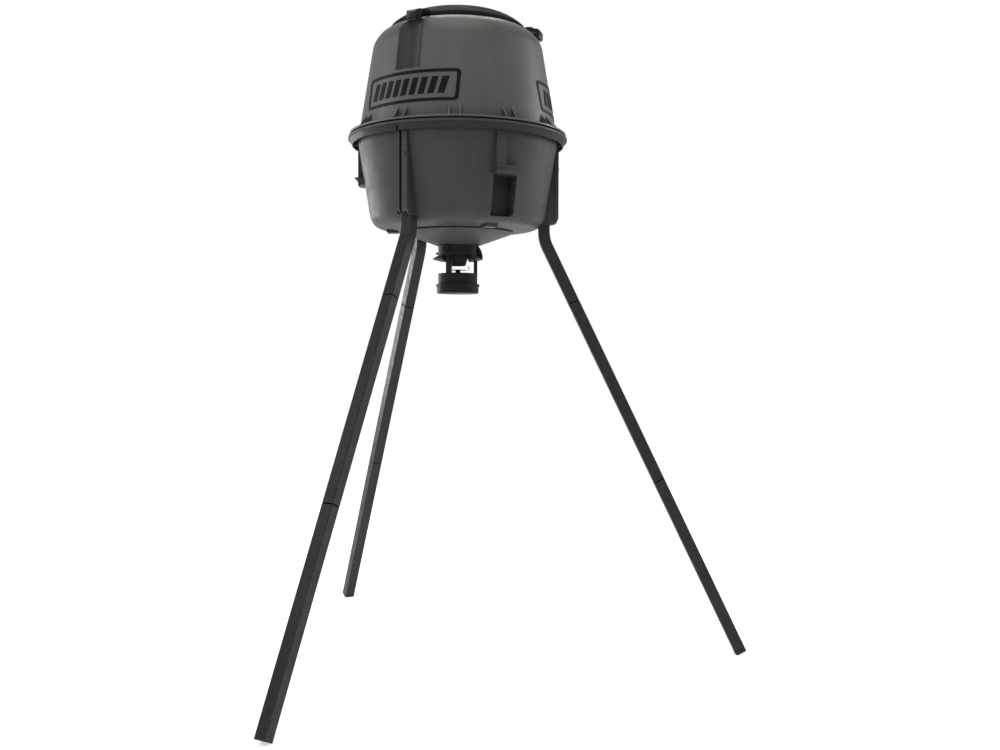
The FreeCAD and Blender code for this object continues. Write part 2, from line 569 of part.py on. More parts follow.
# ---- feeder kit frame and housing ---------------------------------------------------
def kit_frame():
    """Lock ring, wings, three posts and base ring, moulded as one."""
    ring_top = COLLAR_BOTTOM_Z - LOCK_GAP
    neck_top = ring_top + 7.4
    neck_in, neck_out = COLLAR_RADIUS - 16, COLLAR_RADIUS - 11.5
    ring = revolved([(neck_in, RING_BOTTOM_Z), (COLLAR_RADIUS, RING_BOTTOM_Z, 1), (COLLAR_RADIUS, ring_top),
                     (neck_out, ring_top), (neck_out, neck_top), (neck_in, neck_top)])
    lug_low = COLLAR_BOTTOM_Z + 3 + LOCK_GAP
    lug = [(neck_out - 1, lug_low), (COLLAR_RADIUS - 5.5, lug_low), (COLLAR_RADIUS - 5.5, neck_top),
           (neck_out - 1, neck_top)]
    lugs = [revolved(lug, 2 * LUG_HALF, azimuth - LUG_HALF) for azimuth in GRIP_AZIMUTHS]
    wing = [(44, RING_BOTTOM_Z + 1), (COLLAR_RADIUS, RING_BOTTOM_Z + 1), (WING_RADIUS, 1118.5),
            (WING_RADIUS, 1116), (52, 1111.5), (44, 1114)]
    wings = [revolved(wing, WING_SPREAD, azimuth - WING_SPREAD / 2) for azimuth in (0, 180)]
    handle = rib([(COLLAR_RADIUS - 2, ring_top), (67, ring_top), (WING_RADIUS, 1127, 6),
                  (WING_RADIUS + 0.5, 1117), (COLLAR_RADIUS - 2, 1113)], -8, 8)
    inner = POST_OUTER - POST_THICKNESS
    post = rib([(inner, HOUSING_TOP_Z), (POST_OUTER, HOUSING_TOP_Z), (POST_OUTER, RING_BOTTOM_Z + 1),
                (inner - 5.5, RING_BOTTOM_Z + 1), (inner, RING_BOTTOM_Z - 12)], -POST_HALF, POST_HALF)
    base = revolved([(42, HOUSING_TOP_Z), (54.4, HOUSING_TOP_Z), (54.4, HOUSING_TOP_Z + 2.5, 1),
                     (42, HOUSING_TOP_Z + 2.5, 1)])
    shape = joined([ring, handle, base] + lugs + wings + around(post, LEG_AZIMUTHS))
    bores = around(disc(1.6, HOUSING_TOP_Z - 1, HOUSING_TOP_Z + 11, POST_OUTER - 5), LEG_AZIMUTHS)
    detent = turned(radial_pin(2.05, COLLAR_RADIUS - 7, COLLAR_RADIUS + 1, 1132.5), 180)
    return shape.cut(bores + [detent])


def detent_screw():
    head = radial_pin(3.4, COLLAR_RADIUS, COLLAR_RADIUS + 5.6, 1132.5)
    shank = radial_pin(2, COLLAR_RADIUS - 7, COLLAR_RADIUS, 1132.5)
    return turned(joined([head, shank]), 180)


def motor_housing():
    top_inner = HOUSING_TOP_Z - HOUSING_WALL
    bore = HOUSING_RADIUS - HOUSING_WALL
    groove = HOUSING_RADIUS - 1.5
    shell = revolved([(6, top_inner), (bore, top_inner), (bore, HOUSING_BOTTOM_Z),
                      (HOUSING_RADIUS, HOUSING_BOTTOM_Z), (HOUSING_RADIUS, SEAL_Z), (groove, SEAL_Z),
                      (groove, SEAL_Z + 2.5), (HOUSING_RADIUS, SEAL_Z + 2.5),
                      (HOUSING_RADIUS, HOUSING_TOP_Z, 1.5), (6, HOUSING_TOP_Z)])
    pillars = [disc(2.8, PANEL_Z + PANEL_THICKNESS, top_inner + 1, x) for x in PANEL_SCREW_PLACES]
    bores = around(disc(1.6, top_inner - 1, HOUSING_TOP_Z + 1, POST_OUTER - 5), LEG_AZIMUTHS)
    screw_bores = [disc(1.0, PANEL_Z, PANEL_Z + 12, x) for x in PANEL_SCREW_PLACES]
    return joined([shell] + pillars).cut(bores + screw_bores)


def cover_seal():
    return revolved([(HOUSING_RADIUS - 1.5, SEAL_Z), (HOUSING_RADIUS + 0.45, SEAL_Z, 0.4),
                     (HOUSING_RADIUS + 0.45, SEAL_Z + 2.5, 0.4), (HOUSING_RADIUS - 1.5, SEAL_Z + 2.5)])


def post_screws():
    top_inner = HOUSING_TOP_Z - HOUSING_WALL
    shank = disc(1.5, top_inner, HOUSING_TOP_Z + 10, POST_OUTER - 5)
    head = disc(3, top_inner - 2.2, top_inner, POST_OUTER - 5).common(disc(HOUSING_RADIUS - 3.6, 0, 2000))
    return group(around(joined([head, shank]), LEG_AZIMUTHS))


def battery_cover():
    floor_z = COVER_BOTTOM_Z + COVER_FLOOR
    cup = revolved([(0, COVER_BOTTOM_Z), (COVER_RADIUS - 1, COVER_BOTTOM_Z, 3),
                    (COVER_RADIUS, COVER_TOP_Z, 1), (COVER_BORE, COVER_TOP_Z), (COVER_BORE, floor_z),
                    (0, floor_z)])
    tab = rib([(COVER_RADIUS - 2, COVER_TOP_Z - 8), (COVER_RADIUS + 1.6, COVER_TOP_Z - 7, 1),
               (COVER_RADIUS + 1.6, COVER_TOP_Z - 1, 1), (COVER_RADIUS - 2, COVER_TOP_Z)], -7, 7)
    coin_slot = block(-9, 9, -1.2, 1.2, COVER_BOTTOM_Z - 1, COVER_BOTTOM_Z + 1.2)
    return joined([cup] + around(tab, range(0, 360, 60))).cut(coin_slot)


# ---- motor and spinner --------------------------------------------------------------
def motor_can():
    top = HOUSING_TOP_Z - HOUSING_WALL
    can = joined([disc(MOTOR_RADIUS, 1042, top), disc(5, top, HOUSING_TOP_Z - 0.5)])
    return can.cut(disc(SHAFT_RADIUS + RUNNING_FIT, 1041, HOUSING_TOP_Z))


def motor_end_bell():
    bell = disc(MOTOR_RADIUS - 0.4, 1038.5, 1042)
    return bell.cut(disc(SHAFT_RADIUS + RUNNING_FIT, 1039.5, 1043))


def motor_terminals():
    tab = block(7, 8, -1.5, 1.5, BOARD_Z + BOARD_THICKNESS, 1038.5)
    return group(around(tab, (0, 180)))


def motor_shaft():
    return disc(SHAFT_RADIUS, 1040, SPINNER_Z + 3)


def spinner_hub():
    hub = joined([disc(7, HOUSING_TOP_Z + 4, SPINNER_Z), disc(4, SPINNER_Z, SPINNER_Z + SPINNER_GAUGE + 1)])
    return hub.cut([disc(SHAFT_RADIUS, 1000, 1100), radial_pin(1.5, 0, 10, SPINNER_Z - 3.5)])


def set_screw():
    return radial_pin(1.5, SHAFT_RADIUS + 0.1, 7.4, SPINNER_Z - 3.5)


def spinner_plate():
    """Rectangular sheet with its two ends folded up."""
    half = SPINNER_LENGTH / 2
    flap_top = SPINNER_Z + SPINNER_FLAP
    profile = [(-half, flap_top), (-half, SPINNER_Z, 2.4), (half, SPINNER_Z, 2.4), (half, flap_top),
               (half - SPINNER_GAUGE, flap_top), (half - SPINNER_GAUGE, SPINNER_Z + SPINNER_GAUGE, 1.2),
               (SPINNER_GAUGE - half, SPINNER_Z + SPINNER_GAUGE, 1.2), (SPINNER_GAUGE - half, flap_top)]
    sheet = rib(profile, -SPINNER_WIDTH / 2, SPINNER_WIDTH / 2)
    return turned(sheet.cut(disc(4, SPINNER_Z - 1, SPINNER_Z + 4)), SPINNER_TURN)


# ---- timer and batteries ------------------------------------------------------------
def control_panel():
    panel = plate([(-PANEL_HALF_LENGTH, -PANEL_HALF_WIDTH, 5), (PANEL_HALF_LENGTH, -PANEL_HALF_WIDTH, 5),
                   (PANEL_HALF_LENGTH, PANEL_HALF_WIDTH, 5), (-PANEL_HALF_LENGTH, PANEL_HALF_WIDTH, 5)],
                  PANEL_Z, PANEL_Z + PANEL_THICKNESS)
    pegs = [disc(2, PANEL_Z + 2, BOARD_Z, x, y) for x, y in STANDOFFS]
    window = block(LCD[0] + 2, LCD[1] - 2, -LCD[2] + 2, LCD[2] - 2, PANEL_Z - 1, PANEL_Z + 3)
    holes = [disc(BUTTON_RADIUS + 0.35, PANEL_Z - 1, PANEL_Z + 3, x) for x in BUTTON_PLACES]
    screw_bores = [disc(1.0, PANEL_Z - 1, PANEL_Z + 3, x) for x in PANEL_SCREW_PLACES]
    return joined([panel] + pegs).cut([window] + holes + screw_bores)


def panel_screws():
    return group([joined([disc(2, PANEL_Z - 1.2, PANEL_Z, x), disc(0.9, PANEL_Z, PANEL_Z + 9, x)])
                  for x in PANEL_SCREW_PLACES])


def display_lens():
    return block(LCD[0] + 2, LCD[1] - 2, -LCD[2] + 2, LCD[2] - 2, PANEL_Z + 0.3, PANEL_Z + 1.8)


def display():
    return block(LCD[0], LCD[1], -LCD[2], LCD[2], PANEL_Z + PANEL_THICKNESS, BOARD_Z)


def circuit_board():
    board = block(-38, 38, -12.5, 12.5, BOARD_Z, BOARD_Z + BOARD_THICKNESS)
    switches = [block(x - 3, x + 3, -3, 3, BOARD_Z - 2, BOARD_Z) for x in BUTTON_PLACES]
    chip = block(-22, -12, -5, 5, BOARD_Z + BOARD_THICKNESS, BOARD_Z + BOARD_THICKNESS + 1.2)
    return joined([board, chip] + switches)


def button(x):
    cap = disc(BUTTON_RADIUS, PANEL_Z - 1.6, PANEL_Z + 4.6, x)
    return joined([cap, disc(BUTTON_RADIUS + 1, PANEL_Z + 2.9, PANEL_Z + 3.9, x)])


def battery_holder():
    """Two open-bottomed trays beside the motor, joined by a bridge plate above."""
    wall, top = 1.5, CELL_HEIGHTS[1] + CELL_RADIUS + 1.2
    half_x = CELL_LENGTH / 2 + 5
    near, far = CELL_OFFSET - CELL_RADIUS - 2, CELL_OFFSET + CELL_RADIUS + 2
    pieces = []
    for side in (-1, 1):
        low, high = sorted((side * near, side * far))
        tray = block(-half_x, half_x, low, high, HOUSING_BOTTOM_Z + 2, top)
        ceiling = top - wall + 0.8
        room = block(wall - half_x, half_x - wall, low + wall, high - wall, HOUSING_BOTTOM_Z, ceiling)
        pieces.append(tray.cut(room))
    bridge = block(-half_x, half_x, -far, far, top - 0.8, top + 1)
    return joined(pieces + [bridge.cut(disc(MOTOR_RADIUS + 1, top - 2, top + 2))])


def battery_cell(y, z, facing):
    axis = vector(facing, 0, 0)
    start = vector(-facing * CELL_LENGTH / 2, y, z)
    can = Part.makeCylinder(CELL_RADIUS, CELL_LENGTH, start, axis)
    nub = Part.makeCylinder(2.75, 1.2, start + axis * CELL_LENGTH, axis)
    return joined([can, nub])


def battery_cells():
    cells = []
    for y in (-CELL_OFFSET, CELL_OFFSET):
        for facing, z in zip((1, -1), CELL_HEIGHTS):
            cells.append(battery_cell(y, z, facing))
    return group(cells)


def battery_contacts():
    """Contact plate at each cell end, with the two plates of a tray made as one at one end."""
    contacts = []
    outer = CELL_LENGTH / 2 + 3.3
    for y in (-CELL_OFFSET, CELL_OFFSET):
        for side in (-1, 1):
            low, high = sorted((side * (outer - 0.8), side * outer))
            contacts.append(block(low, high, y - 5, y + 5, CELL_HEIGHTS[0] - 4, CELL_HEIGHTS[1] + 4))
    return group(contacts)


# ---- legs ---------------------------------------------------------------------------
def square_bar(width, rounding, low, high):
    return plate(rounded_square(width, rounding), low, high)


def taper_bar(width_low, width_high, low, high, rounding):
    faces = []
    for width, z in ((width_low, low), (width_high, high)):
        face = outline(rounded_square(width, rounding), level_plane)
        face.translate(vector(0, 0, z))
        faces.append(face.OuterWire)
    return Part.makeLoft(faces, True)


def on_slant(shape, distance):
    """Put a shape drawn along +Z, from its bottom end, at a distance below the bend corner."""
    placed = shape.copy()
    placed.rotate(vector(0, 0, 0), vector(0, 1, 0), -SPLAY)
    slope = math.radians(SPLAY)
    placed.translate(vector(LEG_RADIUS + distance * math.sin(slope), 0, BEND_Z - distance * math.cos(slope)))
    return placed


def leg_length():
    """Bend corner to the plug's end, so that the plug's low edge, worn flat, is on the ground."""
    slope = math.radians(SPLAY)
    return (BEND_Z + PLUG_FLAT - TUBE / 2 * math.sin(slope)) / math.cos(slope)


def leg_upper():
    reach = BEND_ROUND * math.tan(math.radians(SPLAY / 2))
    hole = TUBE - 2 * TUBE_WALL
    pieces = []
    for width, rounding in ((TUBE, TUBE_ROUND), (hole, TUBE_ROUND - TUBE_WALL)):
        upright = square_bar(width, rounding, BEND_Z + reach, SOCKET_DEPTH_Z - 2)
        upright.translate(vector(LEG_RADIUS, 0, 0))
        section = outline(rounded_square(width, rounding), level_plane)
        section.translate(vector(LEG_RADIUS, 0, BEND_Z + reach))
        bend = section.revolve(vector(LEG_RADIUS + BEND_ROUND, 0, BEND_Z + reach), vector(0, -1, 0), SPLAY)
        slant = on_slant(square_bar(width, rounding, 0, UPPER_SLANT - reach), UPPER_SLANT)
        pieces.append(joined([upright, bend, slant]))
    bore = radial_pin(3, LEG_RADIUS, FAR, LEG_BOLT_Z, LEG_BOLT_T)
    return pieces[0].cut([pieces[1], bore])


def leg_section(length, bottom):
    """Tube with a swaged upper end; bottom is its distance below the bend corner."""
    hole, swage_hole = TUBE - 2 * TUBE_WALL, SWAGE - 2 * TUBE_WALL
    shoulder = length - SWAGE_SHOULDER
    outside = joined([square_bar(TUBE, TUBE_ROUND, 0, shoulder),
                      taper_bar(TUBE, SWAGE, shoulder, length, 2.0),
                      square_bar(SWAGE, 2.0, length, length + SWAGE_LENGTH)])
    inside = joined([square_bar(hole, 0.8, 0, shoulder),
                     taper_bar(hole, swage_hole, shoulder, length, 0.6),
                     square_bar(swage_hole, 0.6, length, length + SWAGE_LENGTH)])
    return on_slant(outside.cut(inside), bottom)


def foot_plug():
    stem = square_bar(TUBE - 2 * TUBE_WALL - 0.2, 0.8, PLUG_THICKNESS, PLUG_THICKNESS + PLUG_STEM)
    core = square_bar(TUBE - 2 * TUBE_WALL - 5, 1.0, PLUG_THICKNESS + 2, PLUG_THICKNESS + PLUG_STEM)
    cap = square_bar(TUBE, TUBE_ROUND, 0, PLUG_THICKNESS)
    plug = on_slant(joined([cap, stem]).cut(core), leg_length())
    return plug.cut(block(0, FAR * 5, -FAR, FAR, -FAR, 0))


def leg_bolts():
    head = radial_pin(4.5, SOCKET_RADIUS, SOCKET_RADIUS + 2.5, LEG_BOLT_Z, LEG_BOLT_T)
    shank = radial_pin(2.9, LEG_RADIUS + 6, SOCKET_RADIUS, LEG_BOLT_Z, LEG_BOLT_T)
    return group(around(joined([head, shank]), LEG_AZIMUTHS))


# ---- all the sub-parts --------------------------------------------------------------
ONE_OFFS = (lower_hopper, upper_hopper, badges, rim_screws, funnel, funnel_screws, quick_lock_collar,
            collar_screws, drop_spout, lid, lid_seal, latch_pins, leg_bolts, kit_frame, detent_screw,
            motor_housing, cover_seal, post_screws, battery_cover, motor_can, motor_end_bell,
            motor_terminals, motor_shaft, spinner_hub, set_screw, spinner_plate, control_panel,
            panel_screws, display_lens, display, circuit_board, battery_holder, battery_cells,
            battery_contacts)


def sub_parts():
    parts = {make.__name__: make() for make in ONE_OFFS}
    for index, x in enumerate(BUTTON_PLACES, 1):
        parts["button_%d" % index] = button(x)
    latch, upper, plug = lid_latch(), leg_upper(), foot_plug()
    middle_end = UPPER_SLANT + MIDDLE_SLANT
    tube_end = leg_length() - PLUG_THICKNESS
    middle = leg_section(MIDDLE_SLANT, middle_end)
    lower = leg_section(tube_end - middle_end, tube_end)
    for index, azimuth in enumerate(LEG_AZIMUTHS, 1):
        parts["lid_latch_%d" % index] = turned(latch, azimuth)
        parts["leg_%d_upper" % index] = turned(upper, azimuth)
        parts["leg_%d_middle" % index] = turned(middle, azimuth)
        parts["leg_%d_lower" % index] = turned(lower, azimuth)
        parts["foot_plug_%d" % index] = turned(plug, azimuth)
    return parts


os.makedirs("parts", exist_ok=True)
for name, shape in sub_parts().items():
    shape.exportStep("parts/%s.step" % name)
    print(name, "valid" if shape.isValid() else "NOT VALID", len(shape.Solids), round(shape.Volume))
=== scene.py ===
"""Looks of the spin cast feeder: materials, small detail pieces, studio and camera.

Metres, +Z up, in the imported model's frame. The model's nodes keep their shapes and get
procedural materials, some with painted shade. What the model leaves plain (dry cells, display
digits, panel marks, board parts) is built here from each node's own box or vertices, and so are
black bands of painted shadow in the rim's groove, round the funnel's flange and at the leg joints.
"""

import json
import math
import random

import bmesh
import bpy
from mathutils import Matrix, Vector


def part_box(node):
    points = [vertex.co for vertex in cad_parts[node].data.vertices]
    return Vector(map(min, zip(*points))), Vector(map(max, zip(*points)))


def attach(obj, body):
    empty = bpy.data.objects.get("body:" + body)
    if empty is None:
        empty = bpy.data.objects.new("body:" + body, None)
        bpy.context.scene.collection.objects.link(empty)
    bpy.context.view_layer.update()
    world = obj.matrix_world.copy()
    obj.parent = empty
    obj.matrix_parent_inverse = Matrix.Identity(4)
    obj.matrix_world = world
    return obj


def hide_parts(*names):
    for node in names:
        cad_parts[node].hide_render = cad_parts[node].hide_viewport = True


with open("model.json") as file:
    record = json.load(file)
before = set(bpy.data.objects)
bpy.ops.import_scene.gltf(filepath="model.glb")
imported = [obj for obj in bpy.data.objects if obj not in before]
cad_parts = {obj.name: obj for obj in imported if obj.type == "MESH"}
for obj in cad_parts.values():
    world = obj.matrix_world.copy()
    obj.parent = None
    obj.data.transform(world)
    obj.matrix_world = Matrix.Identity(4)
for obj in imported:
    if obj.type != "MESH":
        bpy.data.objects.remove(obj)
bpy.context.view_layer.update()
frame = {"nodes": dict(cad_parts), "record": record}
nodes = frame["nodes"]

FULL_TURN = 2 * math.pi

# ---- colours, linear ----------------------------------------------------------------
UPPER_GREY = (0.074, 0.074, 0.073)
LOWER_GREY = (0.045, 0.0445, 0.043)
LID_GREY = (0.019, 0.019, 0.019)
LATCH_GREY = (0.012, 0.012, 0.012)
KIT_BLACK = (0.0165, 0.0155, 0.0155)
BADGE_BLACK = (0.004, 0.004, 0.004)
PANEL_GREY = (0.045, 0.045, 0.047)
LEG_GREY = (0.018, 0.018, 0.018)
PLUG_BLACK = (0.010, 0.010, 0.010)
RUBBER_BLACK = (0.012, 0.012, 0.012)
BUTTON_GREY = (0.110, 0.112, 0.115)
BLACK_ZINC = (0.075, 0.075, 0.078)
GALVANISED = (0.74, 0.75, 0.76)
STEEL = (0.56, 0.56, 0.55)
BRIGHT_STEEL = (0.78, 0.78, 0.78)
NICKEL = (0.66, 0.63, 0.55)
DUST = (0.30, 0.27, 0.22)
RUST = (0.16, 0.055, 0.02)

# ---- places for the painted local shades, in metres -----------------------------------
# The upper hopper's straight wall, as radius and height at its foot and at its top.
WALL_LOW, WALL_HIGH = (0.2750, 1.4605), (0.2280, 1.7455)
# How far behind that wall a point lies where the painted recess shade starts and where it is full.
RECESS_SHALLOW, RECESS_DEEP = 0.0004, 0.0030
# The painted recess shade fades out where the cosine of three times the azimuth lies between these.
RECESS_EDGE, RECESS_INSIDE = 0.80, 0.86
# Colour multiplier of the painted recess shade where it is full.
RECESS_SHADE_TONE = 0.46
# Painted shade on the rim's skirt: its height limit and fade, its radius ramp and its colour multiplier.
SKIRT_TOP, SKIRT_FADE = 1.4436, 0.0006
SKIRT_INNER, SKIRT_OUTER = 0.2890, 0.2905
SKIRT_SHADE_TONE = 0.42


# ---- shader building ----------------------------------------------------------------
NOISE_REACH = (0.3, 0.7)    # most of a noise texture's values lie between these


class Finish:
    """One material, built from a Principled shader and the textures that feed it."""

    def __init__(self, name, **settings):
        self.material = bpy.data.materials.new(name)
        self.material.use_nodes = True
        self.tree = self.material.node_tree
        self.shader = self.tree.nodes["Principled BSDF"]
        for socket, value in settings.items():
            self.shader.inputs[socket.replace("_", " ")].default_value = value
        self.place = self.add("ShaderNodeTexCoord").outputs["Object"]
        self.normal = None

    def add(self, kind, inputs=(), **settings):
        node = self.tree.nodes.new(kind)
        for key, value in settings.items():
            setattr(node, key, value)
        for socket, value in dict(inputs).items():
            self.feed(node.inputs[socket], value)
        return node

    def feed(self, socket, value):
        if isinstance(value, bpy.types.NodeSocket):
            self.tree.links.new(value, socket)
        elif isinstance(value, tuple) and len(value) == 3 and socket.type == "RGBA":
            socket.default_value = (*value, 1)
        else:
            socket.default_value = value

    def stretched(self, scale):
        """Object coordinates, scaled per axis."""
        return self.add("ShaderNodeMapping", {"Vector": self.place, "Scale": scale}).outputs["Vector"]

    def noise(self, scale, detail=3.0, place=None):
        inputs = {"Vector": place or self.place, "Scale": scale, "Detail": detail}
        return self.add("ShaderNodeTexNoise", inputs).outputs["Fac"]

    def varied(self, low, high, scale, detail=3.0, place=None):
        """Noise that runs from low to high."""
        return self.span(self.noise(scale, detail, place), *NOISE_REACH, low, high)

    def cells(self, scale, output="Distance", place=None, feature="F1"):
        inputs = {"Vector": place or self.place, "Scale": scale}
        return self.add("ShaderNodeTexVoronoi", inputs, feature=feature).outputs[output]

    def span(self, value, low, high, to_low=0.0, to_high=1.0):
        inputs = {"Value": value, "From Min": low, "From Max": high, "To Min": to_low, "To Max": to_high}
        return self.add("ShaderNodeMapRange", inputs).outputs["Result"]

    def times(self, a, b):
        return self.add("ShaderNodeMath", {0: a, 1: b}, operation="MULTIPLY").outputs["Value"]

    def plus(self, a, b):
        return self.add("ShaderNodeMath", {0: a, 1: b}, operation="ADD").outputs["Value"]

    def mix(self, factor, a, b, blend="MIX"):
        node = self.add("ShaderNodeMix", data_type="RGBA", blend_type=blend)
        for index, value in ((0, factor), (6, a), (7, b)):
            self.feed(node.inputs[index], value)
        return node.outputs[2]

    def shade(self, colour, value):
        """Colour times a grey value."""
        grey = self.add("ShaderNodeCombineColor", {"Red": value, "Green": value, "Blue": value})
        return self.mix(1.0, colour, grey.outputs["Color"], "MULTIPLY")

    def corners(self, radius, low=0.02, high=0.25):
        """1 on outer and inner edges, 0 on open faces."""
        bevel = self.add("ShaderNodeBevel", {"Radius": radius}, samples=4).outputs["Normal"]
        face = self.add("ShaderNodeNewGeometry").outputs["Normal"]
        dot = self.add("ShaderNodeVectorMath", {0: bevel, 1: face}, operation="DOT_PRODUCT")
        return self.span(dot.outputs["Value"], 1 - low, 1 - high)

    def painted_corner_shade(self, distance):
        """1 in the open, towards 0 in corners and under overhangs, where shade falls; used for painted shade.
        """
        return self.add("ShaderNodeAmbientOcclusion", {"Distance": distance}, samples=4).outputs["AO"]

    def facing_up(self, low=0.35, high=0.95):
        face = self.add("ShaderNodeNewGeometry").outputs["Normal"]
        height = self.add("ShaderNodeSeparateXYZ", {0: face}).outputs["Z"]
        return self.span(height, low, high)

    def soften(self, radius):
        """Rounds sharp edges in the shading."""
        self.normal = self.add("ShaderNodeBevel", {"Radius": radius}, samples=4).outputs["Normal"]

    def bump(self, height, distance, strength=1.0):
        inputs = {"Height": height, "Distance": distance, "Strength": strength}
        if self.normal is not None:
            inputs["Normal"] = self.normal
        self.normal = self.add("ShaderNodeBump", inputs).outputs["Normal"]

    def done(self, colour, roughness):
        self.feed(self.shader.inputs["Base Color"], colour)
        self.feed(self.shader.inputs["Roughness"], roughness)
        if self.normal is not None:
            self.feed(self.shader.inputs["Normal"], self.normal)
        return self.material


def axis_places(finish):
    """Height, distance from the hopper's axis, and azimuth of each point."""
    parts = finish.add("ShaderNodeSeparateXYZ", {0: finish.place}).outputs
    flat = finish.add("ShaderNodeCombineXYZ", {"X": parts["X"], "Y": parts["Y"]}).outputs["Vector"]
    radius = finish.add("ShaderNodeVectorMath", {0: flat}, operation="LENGTH").outputs["Value"]
    turn = finish.add("ShaderNodeMath", {0: parts["Y"], 1: parts["X"]}, operation="ARCTAN2")
    return parts["Z"], radius, turn.outputs["Value"]


def painted_recess_shade(finish):
    """Painted shade in the three latch recesses over the legs, as darker plastic colour."""
    height, radius, azimuth = axis_places(finish)
    lobes = finish.add("ShaderNodeMath", {0: finish.times(azimuth, 3.0)}, operation="COSINE")
    wall = finish.span(height, WALL_LOW[1], WALL_HIGH[1], WALL_LOW[0], WALL_HIGH[0])
    behind = finish.plus(wall, finish.times(radius, -1.0))
    deep = finish.span(behind, RECESS_SHALLOW, RECESS_DEEP)
    over_leg = finish.span(lobes.outputs["Value"], RECESS_EDGE, RECESS_INSIDE)
    return finish.span(finish.times(deep, over_leg), 0.0, 1.0, 1.0, RECESS_SHADE_TONE)


def painted_skirt_shade(finish):
    """Painted shade on the skirt under the rim, as darker plastic colour."""
    height, radius, _ = axis_places(finish)
    under = finish.span(height, SKIRT_TOP, SKIRT_TOP + SKIRT_FADE, 1.0, 0.0)
    outside = finish.span(radius, SKIRT_INNER, SKIRT_OUTER)
    return finish.span(finish.times(under, outside), 0.0, 1.0, 1.0, SKIRT_SHADE_TONE)


def moulded(name, colour, roughness=0.5, grain=620.0, relief=0.00022, dust=0.35, crease=0.014,
            edge_wear_and_highlight=0.4, specular=0.25, local_shade=None):
    """Moulded plastic: fine grain, slow colour drift, run marks, dust on top, paler edges that are partly
    rubbed and partly a painted highlight, painted shade in corners.

    grain is how many cells of surface grain there are to a metre and relief their depth;
    crease is how far the painted shade reaches out of a corner; local_shade gives a painted shade for one
    region.
    """
    finish = Finish(name, Specular_IOR_Level=specular)
    drift = finish.varied(0.90, 1.10, 4.5, 4.0)
    down_wall = finish.stretched((1.0, 1.0, 0.07))
    runs = finish.span(finish.noise(26.0, 2.0, down_wall), 0.35, 0.7, 1.03, 0.93)
    speckle = finish.varied(0.95, 1.05, 420.0, 2.0)
    shade = finish.times(finish.times(drift, runs), speckle)
    # Painted shade: darker colour in corners and under overhangs.
    corner = finish.span(finish.painted_corner_shade(crease), 0.30, 0.92, 0.42, 1.0)
    if local_shade:
        shade = finish.times(shade, local_shade(finish))
    tone = finish.shade(colour, finish.times(shade, corner))
    scuff_place = finish.stretched((9.0, 9.0, 1.6))
    scuffs = finish.span(finish.noise(34.0, 6.0, scuff_place), 0.66, 0.78)
    patches = finish.span(finish.noise(55.0, 4.0), 0.35, 0.65, 0.2, edge_wear_and_highlight)
    # Paler edges: patchy rubbing, and a painted highlight along every edge.
    rubbed = finish.times(finish.corners(0.0018), patches)
    pale = tuple(min(1.0, part * 2.1 + 0.012) for part in colour)
    tone = finish.mix(finish.times(scuffs, 0.16), tone, pale)
    tone = finish.mix(rubbed, tone, pale)
    film = finish.span(finish.noise(17.0, 5.0), 0.35, 0.7, 0.25, dust)
    tone = finish.mix(finish.times(finish.facing_up(), film), tone, DUST)
    finish.soften(0.0009)
    finish.bump(finish.noise(7.0, 2.0), 0.0016, 0.35)
    finish.bump(finish.cells(grain, feature="SMOOTH_F1"), relief, 0.5)
    finish.bump(finish.noise(grain * 0.42, 3.0), relief, 0.4)
    rough = finish.varied(roughness - 0.06, roughness + 0.07, 38.0, 4.0)
    return finish.done(tone, finish.plus(rough, finish.times(scuffs, 0.08)))


def powder_coat(name):
    """Satin powder coat on steel: orange peel, worn edges with bare metal and a little rust, a painted
    highlight on every edge and painted shade in creases.
    """
    finish = Finish(name, Specular_IOR_Level=0.22)
    drift = finish.varied(0.86, 1.16, 9.0, 4.0)
    mottle = finish.varied(0.84, 1.18, 75.0, 4.0)
    # Painted shade: darker colour in corners and creases.
    painted_corner_shade = finish.span(finish.painted_corner_shade(0.010), 0.4, 1.0, 0.45, 1.0)
    tone = finish.shade(LEG_GREY, finish.times(finish.times(drift, mottle), painted_corner_shade))
    edge = finish.corners(0.0024, 0.01, 0.22)
    # Painted highlight: every edge a lighter grey.
    tone = finish.mix(finish.times(edge, 0.45), tone, (0.085, 0.085, 0.083))
    chips = finish.times(edge, finish.span(finish.noise(150.0, 5.0), 0.60, 0.66))
    tone = finish.mix(chips, tone, STEEL)
    stain = finish.times(edge, finish.span(finish.noise(48.0, 6.0), 0.64, 0.74, 0.0, 0.6))
    tone = finish.mix(stain, tone, RUST)
    specks = finish.span(finish.cells(190.0), 0.02, 0.05, 0.35, 0.0)
    tone = finish.mix(specks, tone, (0.12, 0.115, 0.10))
    finish.soften(0.0010)
    finish.bump(finish.noise(260.0, 2.0), 0.00030, 0.5)
    finish.bump(finish.noise(70.0, 2.0), 0.00040, 0.3)
    rough = finish.varied(0.36, 0.52, 60.0, 4.0)
    return finish.done(tone, rough)


